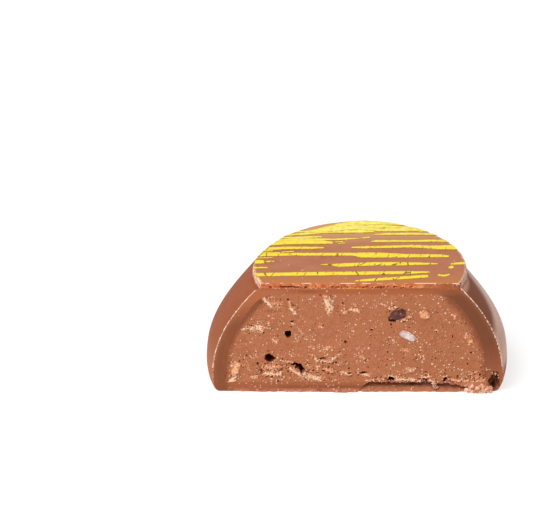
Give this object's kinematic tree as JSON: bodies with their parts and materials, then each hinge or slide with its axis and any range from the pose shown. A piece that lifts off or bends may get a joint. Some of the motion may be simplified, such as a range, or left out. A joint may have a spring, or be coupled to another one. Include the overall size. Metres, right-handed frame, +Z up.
{
  "type": "almond praline chocolate",
  "caption": "Round domed filled chocolate cut through, with a chocolate coat, a nut praline filling, chopped almond bits and a thin striped disc on top.",
  "frame": {"origin": "centre of the round base, on the surface that the chocolate stands on", "axes": "+Z up, -Y out of the cut face, +X along the cut face to the right"},
  "size_m": [0.0341, 0.0219, 0.0134],
  "materials": {
    "milk_chocolate": "smooth milk chocolate, satin",
    "praline": "matte nut praline, finely crumbly",
    "printed_chocolate": "satin chocolate disc with printed yellow stripes",
    "blanched_almond": "matte blanched almond",
    "skin_on_almond": "matte brown almond skin",
    "toasted_almond": "matte golden toasted almond"
  },
  "bodies": {
    "root": {"chocolate_coat": "milk_chocolate", "praline_filling": "praline", "printed_disc": "printed_chocolate", "almond_nib_blanched": "blanched_almond", "almond_nib_skin_on": "skin_on_almond", "almond_nib_golden_upper": "toasted_almond", "almond_nib_golden_lower": "toasted_almond", "almond_nib_golden_side": "toasted_almond"}
  },
  "joints": []
}
